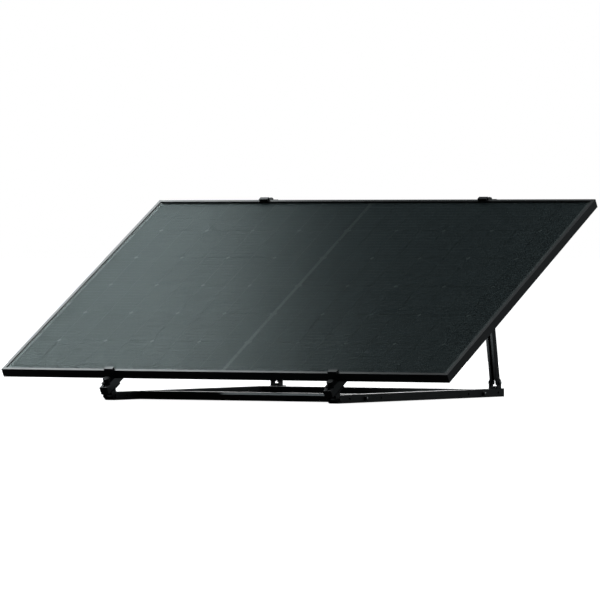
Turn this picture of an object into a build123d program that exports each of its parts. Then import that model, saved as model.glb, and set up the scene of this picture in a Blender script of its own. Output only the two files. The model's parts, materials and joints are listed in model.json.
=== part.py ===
from build123d import *
import math
import os

# A framed solar module on a folding tilt stand. Millimetres and degrees, +Z up, +X along the
# long side, the low edge of the module towards -Y.
#
# Three working frames are used. Stand: the tilt hinge is above Y = 0, the ground is Z = 0.
# Panel: the tilt hinge is the origin, +Y runs up the slope and +Z is square to the glass.
# Leg: the foot pivot is the origin and +Z runs up the leg.

# Driving dimensions of the module
MODULE_LENGTH = 1722.0
MODULE_WIDTH = 1134.0
FRAME_HEIGHT = 30.0
FRAME_LIP = 11.5
FRAME_FLANGE = 28.0
FRAME_WALL = 1.6
CELL_ROWS = 6
HALF_CELLS_PER_SIDE = 9
HALF_CELL = (91.0, 182.0)
HALF_CELL_PITCH = 92.4
CELL_ROW_PITCH = 183.6
CELL_CHAMFER = 7.3
CENTRE_GAP = 14.0
GLASS = 3.2
ENCAPSULANT = 0.5
CELL = 0.2
BACKSHEET = 0.35

# Driving dimensions of the stand
TILT = 30.0
TILT_DOWN = 5.0
TILT_UP = 10.0
RAIL_X = 432.0
RAIL_WIDTH = 30.0
RAIL_WALL = 2.0
RAIL_SLOT = 9.0
TILT_RAIL_LENGTH = 1250.0
TILT_RAIL_DEPTH = 27.0
TILT_RAIL_FROM_HINGE = 21.0
TILT_RAIL_START = -27.0
MODULE_START = 33.5
BASE_RAIL_LENGTH = 1100.0
BASE_RAIL_HEIGHT = 28.0
BASE_HOLES_Y = (72.0, 272.0, 845.0, 1045.0)
BASE_HOLE_R = 4.5
CROSS_BARS_Y = {"front_cross_bar": 172.0, "rear_cross_bar": 945.0}
FOOT_PIVOT = (1049.0, 48.0)
LEG_TOP_PIVOT = (1104.5, 4.5)
LEG_WIDTH = 28.0
LEG_DEPTH = 24.0
LEG_SLOT = 10.0
LEG_LOWER_TOP = 378.0
LEG_UPPER_START = 120.0
LEG_LOCK_Z = 358.0
LEAN_PER_TILT = 0.68
SLIDE_PER_DEGREE = 18.01

# Sheet brackets, bolts and fits
PLATE = 2.5
EAR_R = 14.0
GAP = 0.3
PLUG_PLAY = 0.1
OVERCUT = 1.0
BOLT_R = 4.0
RUNNING_R = 4.06
NUT_BORE_R = 4.02
HEX_R = 7.5
HEAD = 5.5
NUT = 6.5
THREAD_PAST_NUT = 2.0
WASHER = 1.6
WASHER_R = 8.5
WIDE_WASHER_R = 11.0
TUBE_CORNER_R = 1.5
CAP = 3.0
CAP_PLUG = 5.0
CROSS_BAR_PLUG = 20.0
SLEEVE_R = 6.5
SLEEVE_PLAY = 0.05

# Plate nuts: along X, across it, and thick
RAIL_NUT = (20.0, 14.0, 5.0)
FOOT_NUT = (22.0, 14.0, 5.0)
LOCK_NUT = (16.0, 20.0, 6.0)

# End clamps
CLAMP_WIDTH = 34.0
CLAMP_PLATE = 4.0
CLAMP_OVERLAP = 10.7
CLAMP_NOSE = 3.5
CLAMP_ABOVE_FRAME = 8.5
CLAMP_FOOT = 40.0
CLAMP_EDGE_R = 1.2
CLAMP_BOLT_FROM_EDGE = 27.0
CLAMP_BOLT_ABOVE = 9.0
T_HEAD = (18.0, 12.0, 4.0)
KNOB_R = 13.0
KNOB_HEIGHT = 13.0
KNOB_TOP_ROUND = 2.0
KNOB_LOW_ROUND = 0.8
KNOB_LOBES = 6
KNOB_SCALLOP_R = 4.0
KNOB_SCALLOP_FROM_AXIS = 15.0
KNOB_BOSS_R = 8.5
KNOB_BOSS = 2.0

# Derived places
HINGE_Z = BASE_RAIL_HEIGHT / 2
BASE_RAIL_END = BASE_RAIL_LENGTH - HINGE_Z
RAIL_TOP = TILT_RAIL_FROM_HINGE + TILT_RAIL_DEPTH
TILT_RAIL_END = TILT_RAIL_START + TILT_RAIL_LENGTH
MODULE_END = MODULE_START + MODULE_WIDTH
SIDES = {"left": -1, "right": 1}


def panel_to_stand(along, above, tilt):
    """Y and Z of a panel-frame point when the module is tilted by `tilt` degrees."""
    angle = math.radians(tilt)
    y = along * math.cos(angle) - above * math.sin(angle)
    z = HINGE_Z + along * math.sin(angle) + above * math.cos(angle)
    return y, z


def leg_line(tilt):
    """Lean and length of the leg that exactly joins its two pivots at a tilt."""
    y, z = panel_to_stand(*LEG_TOP_PIVOT, tilt)
    forward = FOOT_PIVOT[0] - y
    up = z - FOOT_PIVOT[1]
    return math.degrees(math.atan2(forward, up)), math.hypot(forward, up)


LEG_LEAN, LEG_LENGTH = leg_line(TILT)
FRONT_MOST = panel_to_stand(TILT_RAIL_START, RAIL_TOP, TILT)[0]
ORIGIN_Y = (FRONT_MOST + BASE_RAIL_END) / 2

STAND = Pos(0, -ORIGIN_Y, 0)
PANEL = STAND * Pos(0, 0, HINGE_Z) * Rot(TILT, 0, 0)
MODULE = PANEL * Pos(0, MODULE_START, RAIL_TOP)
LEG = STAND * Pos(0, *FOOT_PIVOT) * Rot(LEG_LEAN, 0, 0)
LEG_AT = {side: LEG * Pos(side * RAIL_X, 0, 0) for side in SIDES.values()}


def block(x, y, z):
    """Box between two limits on each axis."""
    size = [high - low for low, high in (x, y, z)]
    centre = [(low + high) / 2 for low, high in (x, y, z)]
    return Pos(*centre) * Box(*size)


def rod_x(radius, start, end, y=0.0, z=0.0):
    return Pos((start + end) / 2, y, z) * Rot(0, 90, 0) * Cylinder(radius, end - start)


def rod_y(radius, start, end, x=0.0, z=0.0):
    return Pos(x, (start + end) / 2, z) * Rot(90, 0, 0) * Cylinder(radius, end - start)


def rod_z(radius, start, end, x=0.0, y=0.0):
    return Pos(x, y, (start + end) / 2) * Cylinder(radius, end - start)


def hexagon_x(start, end, y=0.0, z=0.0):
    prism = extrude(RegularPolygon(HEX_R, 6), end - start)
    return Pos(start, y, z) * Rot(0, 90, 0) * prism


def hexagon_z(start, end, x=0.0, y=0.0):
    return Pos(x, y, start) * extrude(RegularPolygon(HEX_R, 6), end - start)


def hole_x(radius, start, end, y=0.0, z=0.0):
    """Cutter for a hole along X, a little longer than the wall that it goes through."""
    return rod_x(radius, start - OVERCUT, end + OVERCUT, y, z)


def hole_z(radius, start, end, x=0.0, y=0.0):
    """Cutter for a hole along Z, a little longer than the wall that it goes through."""
    return rod_z(radius, start - OVERCUT, end + OVERCUT, x, y)


def plate_nut(size, place, low):
    """Rectangular nut with its bore along Z."""
    x, y = place
    nut_x = (x - size[0] / 2, x + size[0] / 2)
    nut_y = (y - size[1] / 2, y + size[1] / 2)
    nut = block(nut_x, nut_y, (low, low + size[2]))
    return nut - hole_z(NUT_BORE_R, low, low + size[2], x, y)


def tube(width, height, length):
    """Closed rectangular tube along +Z, with small outer corner radii."""
    outer = RectangleRounded(width, height, TUBE_CORNER_R)
    inner = Rectangle(width - 2 * RAIL_WALL, height - 2 * RAIL_WALL)
    return extrude(outer - inner, length)


def channel(width, depth, slot, length):
    """Lipped channel along +Z whose slot faces -Y."""
    slot_cut = block((-slot / 2, slot / 2), (-depth, 0), (-OVERCUT, length + OVERCUT))
    return tube(width, depth, length) - slot_cut


def export(name, placement, *shapes):
    """Write one node: each shape is one or more closed solids in the given frame."""
    solids = [solid for shape in shapes for solid in (placement * shape).solids()]
    shape = solids[0] if len(solids) == 1 else Compound(solids)
    export_step(shape, f"parts/{name}.step")


# ---- Module ----------------------------------------------------------------------------------

LAMINATE_INSET = 3.2
SEAL_UNDER = 0.2
GROOVE_FROM_TOP = 6.8
GROOVE = (FRAME_HEIGHT - GROOVE_FROM_TOP, FRAME_HEIGHT - FRAME_WALL)
SHELF = 1.4
CHAMBER_WALL = 1.4
MOUNTING_SLOT = (14.0, 9.0)
MOUNTING_SLOT_X = (395.0, 700.0)
CORNER_KEY_LEG = 45.0
RIBBON_WIDTH = 5.0
RIBBON_FROM_CELLS = 1.5
SHEET_LOW = GROOVE[0] + SEAL_UNDER
LAYERS = {}
layer_bottom = SHEET_LOW
for layer, thickness in (
    ("backsheet", BACKSHEET),
    ("rear_encapsulant", ENCAPSULANT),
    ("cells", CELL),
    ("front_encapsulant", ENCAPSULANT),
    ("front_glass", GLASS),
):
    LAYERS[layer] = (layer_bottom, layer_bottom + thickness)
    layer_bottom += thickness


def frame_member(length):
    """Mitred frame extrusion along X, outer face on Y = 0, with a closed chamber."""

    def area(low, high):
        width = high[0] - low[0]
        height = high[1] - low[1]
        return Pos(low[0] + width / 2, low[1] + height / 2) * Rectangle(width, height)

    shelf_low = GROOVE[0] - SHELF
    profile = area((0, 0), (FRAME_WALL, FRAME_HEIGHT))
    profile += area((0, GROOVE[1]), (FRAME_LIP, FRAME_HEIGHT))
    profile += area((0, shelf_low), (FRAME_LIP, GROOVE[0]))
    profile += area((FRAME_LIP - CHAMBER_WALL, 0), (FRAME_LIP, GROOVE[0]))
    profile += area((0, 0), (FRAME_FLANGE, CHAMBER_WALL))
    bar = extrude(Plane.YZ * profile, length / 2, both=True)
    half = length / 2
    reach = FRAME_FLANGE + OVERCUT
    corners = [(-half, 0), (half, 0), (half - reach, reach), (reach - half, reach)]
    return bar & extrude(Polygon(*corners, align=None), FRAME_HEIGHT)


def mounting_slots():
    """Slots in the flanges of the two long members, for bolts from below."""
    slot_centre = (FRAME_LIP + FRAME_FLANGE) / 2
    slot = extrude(SlotOverall(*MOUNTING_SLOT), CHAMBER_WALL + OVERCUT, both=True)
    slots = []
    for x in MOUNTING_SLOT_X:
        for side in SIDES.values():
            for y in (slot_centre, MODULE_WIDTH - slot_centre):
                slots.append(Pos(side * x, y, 0) * slot)
    return slots


def make_frame():
    centre = Pos(0, MODULE_WIDTH / 2, 0)
    members = (
        ("frame_front", 0, MODULE_LENGTH, MODULE_WIDTH),
        ("frame_right", 90, MODULE_WIDTH, MODULE_LENGTH),
        ("frame_rear", 180, MODULE_LENGTH, MODULE_WIDTH),
        ("frame_left", 270, MODULE_WIDTH, MODULE_LENGTH),
    )
    for name, turn, length, across in members:
        member = centre * Rot(0, 0, turn) * Pos(0, -across / 2, 0) * frame_member(length)
        if length == MODULE_LENGTH:
            for slot in mounting_slots():
                member -= slot
        export(name, MODULE, member)


def make_corner_keys():
    """L-shaped keys pressed into the chambers across each mitre."""
    low = FRAME_WALL + PLUG_PLAY
    high = FRAME_LIP - CHAMBER_WALL - PLUG_PLAY
    end = CORNER_KEY_LEG
    outline = [(low, low), (end, low), (end, high), (high, high), (high, end), (low, end)]
    height = GROOVE[0] - SHELF - CHAMBER_WALL - 2 * PLUG_PLAY
    key = extrude(Polygon(*outline, align=None), height)
    key = Pos(0, 0, CHAMBER_WALL + PLUG_PLAY) * key
    keys = []
    for turn, half_x, half_y in (
        (0, MODULE_LENGTH / 2, MODULE_WIDTH / 2),
        (90, MODULE_WIDTH / 2, MODULE_LENGTH / 2),
        (180, MODULE_LENGTH / 2, MODULE_WIDTH / 2),
        (270, MODULE_WIDTH / 2, MODULE_LENGTH / 2),
    ):
        corner = Pos(0, MODULE_WIDTH / 2, 0) * Rot(0, 0, turn) * Pos(-half_x, -half_y, 0)
        keys.append(corner * key)
    export("frame_corner_keys", MODULE, *keys)


def sheet(inset, z):
    half = MODULE_LENGTH / 2 - inset
    return block((-half, half), (inset, MODULE_WIDTH - inset), z)


def make_laminate():
    groove_ring = sheet(FRAME_WALL, GROOVE) - sheet(FRAME_LIP, (0, FRAME_HEIGHT))
    laminate = sheet(LAMINATE_INSET, (SHEET_LOW, LAYERS["front_glass"][1]))
    export("frame_sealant", MODULE, groove_ring - laminate)
    for name in ("backsheet", "rear_encapsulant", "front_encapsulant", "front_glass"):
        export(name, MODULE, sheet(LAMINATE_INSET, LAYERS[name]))


def half_cell(chamfer_side):
    """One half of a wafer, with its two chamfered corners on the -X or +X side."""
    half_x = HALF_CELL[0] / 2
    half_y = HALF_CELL[1] / 2
    cut = CELL_CHAMFER
    outline = [
        (half_x - cut, -half_y),
        (half_x, cut - half_y),
        (half_x, half_y - cut),
        (half_x - cut, half_y),
        (-half_x, half_y),
        (-half_x, -half_y),
    ]
    cell = extrude(Polygon(*outline, align=None), CELL)
    return cell if chamfer_side > 0 else Rot(0, 0, 180) * cell


def make_cells():
    """Two strings of half-cells in each row, mirrored about the centre gap."""
    cells = []
    for side in (-1, 1):
        for column in range(HALF_CELLS_PER_SIDE):
            x = CENTRE_GAP / 2 + HALF_CELL[0] / 2 + column * HALF_CELL_PITCH
            chamfer_side = -side if column % 2 == 0 else side
            cell = half_cell(chamfer_side)
            for row in range(CELL_ROWS):
                y = MODULE_WIDTH / 2 + (row - (CELL_ROWS - 1) / 2) * CELL_ROW_PITCH
                cells.append(Pos(side * x, y, LAYERS["cells"][0]) * cell)
    export("solar_cells", MODULE, *cells)


def make_ribbons():
    """Flat conductors beside the strings: two in the centre gap and one at each end."""
    half_width = RIBBON_WIDTH / 2
    centre_x = CENTRE_GAP / 4
    cells_end = CENTRE_GAP / 2 + HALF_CELLS_PER_SIDE * HALF_CELL_PITCH
    end_x = cells_end + RIBBON_FROM_CELLS + half_width
    half = CELL_ROWS * CELL_ROW_PITCH / 2
    y = (MODULE_WIDTH / 2 - half, MODULE_WIDTH / 2 + half)
    ribbons = []
    for x in (-end_x, -centre_x, centre_x, end_x):
        ribbons.append(block((x - half_width, x + half_width), y, LAYERS["cells"]))
    export("bus_ribbons", MODULE, *ribbons)


BOX_SIZE = (62.0, 50.0)
BOX_CORNER_R = 4.0
BOX_WALL = 2.0
BOX_DEPTH = 12.0
BOX_LID = 2.5
BOX_SPACING = 370.0
DIODE = (14.0, 10.0, 4.5)
GLAND_R = 5.5
GLAND_NECK_R = 4.5
GLAND_HOLE_R = 4.55
GLAND_BORE_R = 3.0
GLAND_LENGTH = 18.0
GLAND_INSIDE = 3.0
GLAND_FROM_LID = 5.0


def make_junction_boxes():
    """Three boxes on the centre line under the backsheet; the outer two have a gland."""
    top = SHEET_LOW
    low = top - BOX_DEPTH
    half_x = BOX_SIZE[0] / 2
    half_y = BOX_SIZE[1] / 2
    ceiling = top - BOX_WALL
    gland_z = low + GLAND_FROM_LID
    shell = block((-half_x, half_x), (-half_y, half_y), (low, top))
    shell = fillet(shell.edges().filter_by(Axis.Z), BOX_CORNER_R)
    inner_x = half_x - BOX_WALL
    inner_y = half_y - BOX_WALL
    shell -= block((-inner_x, inner_x), (-inner_y, inner_y), (low - OVERCUT, ceiling))
    lid = block((-half_x, half_x), (-half_y, half_y), (low - BOX_LID, low))
    lid = fillet(lid.edges().filter_by(Axis.Z), BOX_CORNER_R)
    diode = Pos(0, 0, ceiling - DIODE[2] / 2) * Box(*DIODE)
    boxes, lids, diodes, glands = [], [], [], []
    for index, gland_side in ((-1, -1), (0, 0), (1, 1)):
        place = Pos(0, MODULE_WIDTH / 2 + index * BOX_SPACING, 0)
        this_box = shell
        if gland_side:
            start = inner_x - GLAND_INSIDE
            end = start + GLAND_LENGTH
            gland = rod_x(GLAND_NECK_R, start, half_x, 0, gland_z)
            gland += rod_x(GLAND_R, half_x, end, 0, gland_z)
            gland -= rod_x(GLAND_BORE_R, half_x, end + OVERCUT, 0, gland_z)
            hole = hole_x(GLAND_HOLE_R, inner_x, half_x, 0, gland_z)
            turn = Rot(0, 0, 0 if gland_side > 0 else 180)
            this_box = shell - turn * hole
            glands.append(place * turn * gland)
        boxes.append(place * this_box)
        lids.append(place * lid)
        diodes.append(place * diode)
    export("junction_boxes", MODULE, *boxes)
    export("junction_box_lids", MODULE, *lids)
    export("bypass_diodes", MODULE, *diodes)
    export("cable_glands", MODULE, *glands)


# ---- Sloped rails and the brackets under them ----------------------------------------------------

HINGE_PLATE_REACH = 50.0
HINGE_BOLTS = (24.0, 40.0)
TOP_PLATE_REACH = 34.0
TOP_BOLTS = (-24.0, 24.0)
TOP_SLOT_STEPS = 15


def bracket_bolt_places():
    places = list(HINGE_BOLTS)
    places += [LEG_TOP_PIVOT[0] + offset for offset in TOP_BOLTS]
    return places


def make_tilt_rails():
    length = TILT_RAIL_LENGTH - 2 * CAP
    profile = channel(RAIL_WIDTH, TILT_RAIL_DEPTH, RAIL_SLOT, length)
    centre_z = TILT_RAIL_FROM_HINGE + TILT_RAIL_DEPTH / 2
    rail = Pos(0, TILT_RAIL_START + CAP, centre_z) * Rot(-90, 0, 0) * profile
    floor_top = TILT_RAIL_FROM_HINGE + RAIL_WALL
    for y in bracket_bolt_places():
        rail -= hole_z(RUNNING_R, TILT_RAIL_FROM_HINGE, floor_top, 0, y)
    for name, side in SIDES.items():
        export(f"tilt_rail_{name}", PANEL * Pos(side * RAIL_X, 0, 0), rail)


def make_tilt_rail_caps():
    """A plug with a flange in each end of the two sloped rails."""
    half = RAIL_WIDTH / 2
    play = RAIL_WALL + PLUG_PLAY
    inner = half - play
    z = (TILT_RAIL_FROM_HINGE, RAIL_TOP)
    inner_z = (z[0] + play, z[1] - play)
    caps = []
    for start, inward in ((TILT_RAIL_START, 1), (TILT_RAIL_END, -1)):
        flange_y = sorted((start, start + inward * CAP))
        plug_y = sorted((start + inward * CAP, start + inward * (CAP + CAP_PLUG)))
        cap = block((-half, half), flange_y, z)
        cap = fillet(cap.edges().filter_by(Axis.Y), TUBE_CORNER_R)
        cap += block((-inner, inner), plug_y, inner_z)
        caps += [Pos(side * RAIL_X, 0, 0) * cap for side in SIDES.values()]
    export("tilt_rail_caps", PANEL, *caps)


def hanging_bracket(inner_half, plate_y, bolts, pivot, ear_cut):
    """U bracket under a sloped rail: a plate with two rounded ears down to a pivot."""
    outer_half = inner_half + PLATE
    plate_z = (TILT_RAIL_FROM_HINGE - PLATE, TILT_RAIL_FROM_HINGE)
    bracket = block((-outer_half, outer_half), plate_y, plate_z)
    y, z = pivot
    for side in (-1, 1):
        x = sorted((side * inner_half, side * outer_half))
        bracket += block(x, (y - EAR_R, y + EAR_R), (z, TILT_RAIL_FROM_HINGE))
        bracket += rod_x(EAR_R, x[0], x[1], y, z)
    bracket -= ear_cut
    for bolt_y in bolts:
        bracket -= hole_z(RUNNING_R, *plate_z, 0, bolt_y)
    return bracket


def top_pivot_slot(half_length):
    """Cut that the leg's top bolt moves in, because a leg that turns and slides at constant
    rates leaves the exact arc of its pivot by a few millimetres."""
    places = []
    for step in range(TOP_SLOT_STEPS + 1):
        change = -TILT_DOWN + (TILT_DOWN + TILT_UP) * step / TOP_SLOT_STEPS
        lean = math.radians(LEG_LEAN + LEAN_PER_TILT * change)
        length = LEG_LENGTH + SLIDE_PER_DEGREE * change
        y = FOOT_PIVOT[0] - length * math.sin(lean)
        z = FOOT_PIVOT[1] + length * math.cos(lean) - HINGE_Z
        back = -math.radians(TILT + change)
        along = y * math.cos(back) - z * math.sin(back)
        above = y * math.sin(back) + z * math.cos(back)
        places.append((along, above))
    circles = [Pos(*place) * Circle(BOLT_R + GAP) for place in places]
    outline = make_hull([edge for circle in circles for edge in circle.edges()])
    return extrude(Plane.YZ * outline, half_length, both=True)


def make_hanging_brackets():
    hinge_half = RAIL_WIDTH / 2 + GAP
    reach = hinge_half + PLATE
    hinge = hanging_bracket(
        hinge_half, (-EAR_R, HINGE_PLATE_REACH), HINGE_BOLTS, (0, 0),
        hole_x(RUNNING_R, -reach, reach),
    )
    top_y = LEG_TOP_PIVOT[0]
    top = hanging_bracket(
        upper_leg_half() + 2 * GAP, (top_y - TOP_PLATE_REACH, top_y + TOP_PLATE_REACH),
        [top_y + offset for offset in TOP_BOLTS], LEG_TOP_PIVOT, top_pivot_slot(reach),
    )
    sides = [Pos(side * RAIL_X, 0, 0) for side in SIDES.values()]
    export("hinge_brackets", PANEL, *[side * hinge for side in sides])
    export("leg_top_brackets", PANEL, *[side * top for side in sides])


def make_bracket_fasteners():
    head_top = TILT_RAIL_FROM_HINGE - PLATE
    nut_low = TILT_RAIL_FROM_HINGE + RAIL_WALL
    bolt_top = nut_low + RAIL_NUT[2] + THREAD_PAST_NUT
    bolt = hexagon_z(head_top - HEAD, head_top) + rod_z(BOLT_R, head_top, bolt_top)
    nut = plate_nut(RAIL_NUT, (0, 0), nut_low)
    bolts, nuts = [], []
    for side in SIDES.values():
        for y in bracket_bolt_places():
            bolts.append(Pos(side * RAIL_X, y, 0) * bolt)
            nuts.append(Pos(side * RAIL_X, y, 0) * nut)
    export("rail_bracket_bolts", PANEL, *bolts)
    export("rail_bracket_nuts", PANEL, *nuts)


# ---- Base ---------------------------------------------------------------------------------------


def make_base_rails():
    """Tube along Y with round cheeks at the hinge and cross holes through both walls."""
    length = BASE_RAIL_LENGTH - CAP
    rail = Pos(0, -HINGE_Z, HINGE_Z) * Rot(-90, 0, 0) * tube(RAIL_WIDTH, BASE_RAIL_HEIGHT, length)
    half = RAIL_WIDTH / 2
    keep = block((-half, half), (0, BASE_RAIL_LENGTH), (0, BASE_RAIL_HEIGHT))
    keep += rod_x(HINGE_Z, -half, half, 0, HINGE_Z)
    rail &= keep
    for y in BASE_HOLES_Y:
        rail -= hole_x(BASE_HOLE_R, -half, half, y, HINGE_Z)
    for y in (0.0, *CROSS_BARS_Y.values()):
        rail -= hole_x(RUNNING_R, -half, half, y, HINGE_Z)
    top_wall = (BASE_RAIL_HEIGHT - RAIL_WALL, BASE_RAIL_HEIGHT)
    rail -= hole_z(RUNNING_R, *top_wall, 0, FOOT_PIVOT[0])
    for name, side in SIDES.items():
        export(f"base_rail_{name}", STAND * Pos(side * RAIL_X, 0, 0), rail)


def make_base_rail_caps():
    half = RAIL_WIDTH / 2
    end = BASE_RAIL_END
    play = RAIL_WALL + PLUG_PLAY
    cap = block((-half, half), (end - CAP, end), (0, BASE_RAIL_HEIGHT))
    cap = fillet(cap.edges().filter_by(Axis.Y), TUBE_CORNER_R)
    inner_z = (play, BASE_RAIL_HEIGHT - play)
    cap += block((play - half, half - play), (end - CAP - CAP_PLUG, end - CAP), inner_z)
    export("base_rail_caps", STAND, *[Pos(s * RAIL_X, 0, 0) * cap for s in SIDES.values()])


def make_cross_bars():
    """Two tubes between the base rails, with a tapped plug in each end."""
    inner_x = RAIL_X - RAIL_WIDTH / 2
    plug_y = RAIL_WIDTH / 2 - RAIL_WALL - PLUG_PLAY
    plug_z = HINGE_Z - RAIL_WALL - PLUG_PLAY
    plug = block((-CROSS_BAR_PLUG, 0), (-plug_y, plug_y), (-plug_z, plug_z))
    plug -= hole_x(NUT_BORE_R, -CROSS_BAR_PLUG, 0)
    bar = Pos(-inner_x, 0, 0) * Rot(0, 90, 0) * tube(BASE_RAIL_HEIGHT, RAIL_WIDTH, 2 * inner_x)
    outer_x = RAIL_X + RAIL_WIDTH / 2
    bolt = rod_x(BOLT_R, inner_x - CROSS_BAR_PLUG + THREAD_PAST_NUT, outer_x + WASHER)
    bolt += hexagon_x(outer_x + WASHER, outer_x + WASHER + HEAD)
    bolt += rod_x(WASHER_R, outer_x, outer_x + WASHER)
    plugs, bolts = [], []
    for name, y in CROSS_BARS_Y.items():
        export(name, STAND * Pos(0, y, HINGE_Z), bar)
        for turn in (0, 180):
            place = Pos(0, y, HINGE_Z) * Rot(0, 0, turn)
            plugs.append(place * Pos(inner_x, 0, 0) * plug)
            bolts.append(place * bolt)
    export("cross_bar_plugs", STAND, *plugs)
    export("cross_bar_bolts", STAND, *bolts)


def make_spacer_sleeves():
    """Sleeves that keep the tube walls apart wherever a bolt crosses a base rail, its own
    bolts and those that go in the open anchor holes."""
    half = RAIL_WIDTH / 2 - RAIL_WALL - SLEEVE_PLAY
    sleeves = []
    for bore_r, places in (
        (RUNNING_R, (0.0, *CROSS_BARS_Y.values())),
        (BASE_HOLE_R, BASE_HOLES_Y),
    ):
        sleeve = rod_x(SLEEVE_R, -half, half) - hole_x(bore_r, -half, half)
        for side in SIDES.values():
            for y in places:
                sleeves.append(Pos(side * RAIL_X, y, HINGE_Z) * sleeve)
    export("spacer_sleeves", STAND, *sleeves)


def make_hinge_fasteners():
    """The tilt hinge's two pins: bolts along X with the head on the +X side."""
    ear_outer = RAIL_WIDTH / 2 + GAP + PLATE
    seat = ear_outer + GAP
    nut_end = -seat - WASHER - NUT
    bolt = rod_x(BOLT_R, nut_end - THREAD_PAST_NUT, seat + WASHER)
    bolt += hexagon_x(seat + WASHER, seat + WASHER + HEAD)
    bolt += rod_x(WASHER_R, seat, seat + WASHER)
    nut = hexagon_x(nut_end, -seat - WASHER)
    nut += rod_x(WASHER_R, -seat - WASHER, -seat)
    nut -= hole_x(NUT_BORE_R, nut_end, -seat)
    places = [Pos(side * RAIL_X, 0, HINGE_Z) for side in SIDES.values()]
    export("hinge_bolts", STAND, *[place * bolt for place in places])
    export("hinge_nuts", STAND, *[place * nut for place in places])


def make_foot_brackets():
    """U brackets on the base rails that hold the feet of the legs."""
    y, z = FOOT_PIVOT
    inner = LEG_WIDTH / 2 + GAP
    outer = inner + PLATE
    plate_y = (y - EAR_R, y + EAR_R)
    plate_z = (BASE_RAIL_HEIGHT, BASE_RAIL_HEIGHT + PLATE)
    bracket = block((-outer, outer), plate_y, plate_z)
    for side in (-1, 1):
        x = sorted((side * inner, side * outer))
        bracket += block(x, plate_y, (BASE_RAIL_HEIGHT, z))
        bracket += rod_x(EAR_R, x[0], x[1], y, z)
    bracket -= hole_x(RUNNING_R, -outer, outer, y, z)
    bracket -= hole_z(RUNNING_R, *plate_z, 0, y)
    nut_low = BASE_RAIL_HEIGHT - RAIL_WALL - FOOT_NUT[2]
    bolt = hexagon_z(plate_z[1], plate_z[1] + HEAD, 0, y)
    bolt += rod_z(BOLT_R, nut_low, plate_z[1], 0, y)
    nut = plate_nut(FOOT_NUT, (0, y), nut_low)
    places = [Pos(side * RAIL_X, 0, 0) for side in SIDES.values()]
    export("foot_brackets", STAND, *[place * bracket for place in places])
    export("foot_bracket_bolts", STAND, *[place * bolt for place in places])
    export("foot_bracket_nuts", STAND, *[place * nut for place in places])


def make_foot_pivots():
    """A short bolt through each ear and each cheek of the leg, with its nut inside."""
    ear_outer = LEG_WIDTH / 2 + GAP + PLATE
    cheek_inner = LEG_WIDTH / 2 - RAIL_WALL
    nut_outer = cheek_inner - GAP
    bolt = rod_x(BOLT_R, nut_outer - NUT, ear_outer)
    bolt += hexagon_x(ear_outer, ear_outer + HEAD)
    nut = hexagon_x(nut_outer - NUT, nut_outer) - rod_x(NUT_BORE_R, 0, LEG_WIDTH)
    bolts, nuts = [], []
    for side in SIDES.values():
        for turn in (0, 180):
            place = Pos(side * RAIL_X, *FOOT_PIVOT) * Rot(0, 0, turn)
            bolts.append(place * bolt)
            nuts.append(place * nut)
    export("foot_pivot_bolts", STAND, *bolts)
    export("foot_pivot_nuts", STAND, *nuts)


# ---- Legs ---------------------------------------------------------------------------------------

LEG_FOOT_R = 12.5
LEG_TOP_R = 10.0
NOTCH_HALF = 8.0
NOTCH_TOP = 13.0


def upper_leg_half():
    return LEG_WIDTH / 2 - RAIL_WALL - GAP


def make_lower_legs():
    """Outer channel: round cheeks at the foot, notched between them, slot to the front."""
    bar = channel(LEG_WIDTH, LEG_DEPTH, LEG_SLOT, LEG_LOWER_TOP + LEG_FOOT_R)
    bar = Pos(0, 0, -LEG_FOOT_R) * bar
    half = LEG_WIDTH / 2
    keep = block((-half, half), (-LEG_DEPTH, LEG_DEPTH), (0, LEG_LOWER_TOP))
    keep += rod_x(LEG_FOOT_R, -half, half)
    bar &= keep
    notch_round = NOTCH_TOP - NOTCH_HALF
    bar -= block((-NOTCH_HALF, NOTCH_HALF), (-LEG_DEPTH, LEG_DEPTH), (-LEG_DEPTH, notch_round))
    bar -= rod_y(NOTCH_HALF, -LEG_DEPTH, LEG_DEPTH, 0, notch_round)
    bar -= hole_x(RUNNING_R, -half, half)
    bar -= rod_y(RUNNING_R, 0, LEG_DEPTH, 0, LEG_LOCK_Z)
    for name, side in SIDES.items():
        export(f"leg_lower_{name}", LEG_AT[side], bar)


def make_upper_legs():
    """Inner channel that slides in the outer one; its back has a long slot for the lock."""
    half_x = upper_leg_half()
    depth = LEG_DEPTH - 2 * RAIL_WALL - 2 * GAP
    end = LEG_LENGTH + LEG_TOP_R
    bar = channel(2 * half_x, depth, LEG_SLOT, end - LEG_UPPER_START)
    bar = Pos(0, 0, LEG_UPPER_START) * bar
    keep = block((-half_x, half_x), (-depth, depth), (LEG_UPPER_START, LEG_LENGTH))
    keep += rod_x(LEG_TOP_R, -half_x, half_x, 0, LEG_LENGTH)
    bar &= keep
    bar -= hole_x(RUNNING_R, -half_x, half_x, 0, LEG_LENGTH)
    slot_r = BOLT_R + GAP
    slot_low = LEG_LOCK_Z - TILT_UP * SLIDE_PER_DEGREE - GAP
    slot_high = LEG_LOCK_Z + TILT_DOWN * SLIDE_PER_DEGREE + GAP
    bar -= block((-slot_r, slot_r), (0, depth), (slot_low, slot_high))
    for z in (slot_low, slot_high):
        bar -= rod_y(slot_r, 0, depth, 0, z)
    for name, side in SIDES.items():
        export(f"leg_upper_{name}", LEG_AT[side], bar)


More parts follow.
